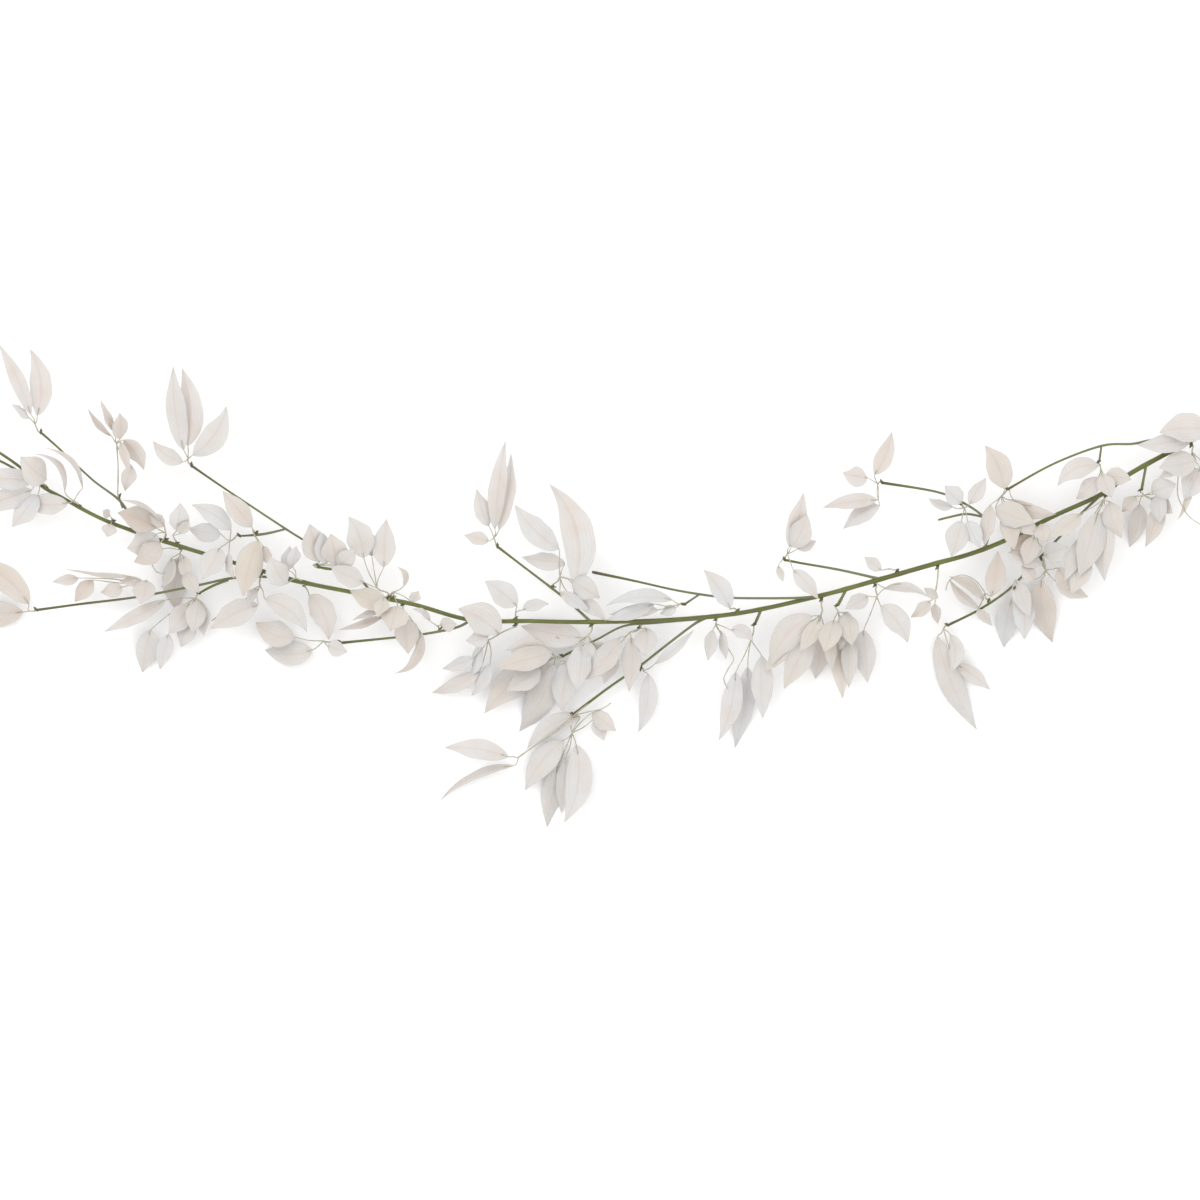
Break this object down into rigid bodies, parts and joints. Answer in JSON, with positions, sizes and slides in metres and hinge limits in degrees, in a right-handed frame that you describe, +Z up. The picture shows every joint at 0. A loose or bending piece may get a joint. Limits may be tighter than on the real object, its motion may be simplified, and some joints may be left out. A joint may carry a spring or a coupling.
{
  "type": "dried ruscus stem",
  "caption": "Long arching green ruscus stem laid on its side, with side shoots and sprays of thin, pale, papery long-pointed leaves.",
  "frame": {"origin": "on the surface the stem lies on, under the middle of the stem's bounding box", "axes": "+X along the stem towards its cut base, +Y across the stem towards the side its two ends curve to, +Z up from the surface it lies on"},
  "size_m": [1.1103, 0.4034, 0.062],
  "materials": {
    "stem_green": "satin",
    "leaf_pale": "matt"
  },
  "bodies": {
    "root": {"green_stem": "stem_green", "spray_base_lower": "leaf_pale", "spray_base_upper": "leaf_pale", "spray_beige_left": "leaf_pale", "spray_beige_right": "leaf_pale", "spray_below_left": "leaf_pale", "spray_beside_ring": "leaf_pale", "spray_brown_west": "leaf_pale", "spray_centre_point": "leaf_pale", "spray_cream_middle": "leaf_pale", "spray_crossed": "leaf_pale", "spray_dangling": "leaf_pale", "spray_fan": "leaf_pale", "spray_far_right_fork_tip": "leaf_pale", "spray_far_right_tip": "leaf_pale", "spray_fork_leaves": "leaf_pale", "spray_fork_tip": "leaf_pale", "spray_hanging_centre": "leaf_pale", "spray_hanging_west": "leaf_pale", "spray_high_right_side": "leaf_pale", "spray_high_right_tip": "leaf_pale", "spray_long_below": "leaf_pale", "spray_long_right_fork": "leaf_pale", "spray_long_upper_tip": "leaf_pale", "spray_low_left_fork_tip": "leaf_pale", "spray_low_left_tip": "leaf_pale", "spray_low_left_upper": "leaf_pale", "spray_low_right_curls": "leaf_pale", "spray_low_right_tip": "leaf_pale", "spray_low_ring": "leaf_pale", "spray_lower_bud": "leaf_pale", "spray_lower_middle_tip": "leaf_pale", "spray_lowest": "leaf_pale", "spray_lowest_left": "leaf_pale", "spray_north_point": "leaf_pale", "spray_over_stem": "leaf_pale", "spray_pink_pair": "leaf_pale", "spray_right_brown": "leaf_pale", "spray_right_column": "leaf_pale", "spray_right_low": "leaf_pale", "spray_right_middle": "leaf_pale", "spray_right_stub_tip": "leaf_pale", "spray_second_tip": "leaf_pale", "spray_short_point": "leaf_pale", "spray_single": "leaf_pale", "spray_slim_below": "leaf_pale", "spray_slim_middle": "leaf_pale", "spray_small_bud": "leaf_pale", "spray_south_west": "leaf_pale", "spray_tall_middle": "leaf_pale", "spray_tip": "leaf_pale", "spray_twin_points": "leaf_pale", "spray_under_stem": "leaf_pale", "spray_upper_left_tip": "leaf_pale", "spray_upper_middle_tip": "leaf_pale", "spray_upper_right_tip": "leaf_pale", "spray_upright": "leaf_pale", "spray_west": "leaf_pale", "spray_west_bud": "leaf_pale", "spray_west_edge": "leaf_pale"}
  },
  "joints": []
}
